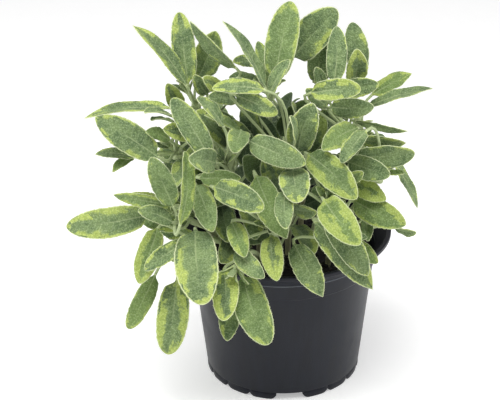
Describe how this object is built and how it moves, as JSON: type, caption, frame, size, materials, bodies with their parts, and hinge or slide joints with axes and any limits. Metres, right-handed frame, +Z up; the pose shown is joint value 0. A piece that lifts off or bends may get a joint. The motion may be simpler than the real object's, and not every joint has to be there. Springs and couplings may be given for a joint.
{
  "type": "potted sage",
  "caption": "Bushy golden-variegated sage in a plain black plastic nursery pot with a flared lip and a scalloped ring of feet.",
  "frame": {"origin": "on the ground, below the middle of the whole bush's outline", "axes": "+Z up along the pot; the side that the picture shows faces -Y; +X to the viewer's right"},
  "size_m": [0.267, 0.2442, 0.3031],
  "materials": {
    "pot_plastic": "satin black polypropylene, faintly ribbed by the mould",
    "potting_soil": "dark damp peat with fibres and bark crumbs",
    "sage_leaf": "velvety grey-green leaf with a pebbled surface and uneven lime-yellow margins"
  },
  "bodies": {
    "root": {"pot": "pot_plastic", "soil": "potting_soil", "leafy_stem_top_left": "sage_leaf", "leafy_stem_top_centre": "sage_leaf", "leafy_stem_top_right": "sage_leaf", "leafy_stem_right_high": "sage_leaf", "leafy_stem_right": "sage_leaf", "leafy_stem_centre": "sage_leaf", "leafy_stem_centre_left": "sage_leaf", "leafy_stem_left_high": "sage_leaf", "leafy_stem_left": "sage_leaf", "leafy_stem_left_low": "sage_leaf", "leafy_stem_front_low": "sage_leaf", "leafy_stem_front": "sage_leaf", "leafy_stem_front_right": "sage_leaf", "leafy_stem_right_low": "sage_leaf", "leafy_stem_back_left": "sage_leaf", "leafy_stem_back_centre": "sage_leaf", "leafy_stem_back_right": "sage_leaf"}
  },
  "joints": []
}
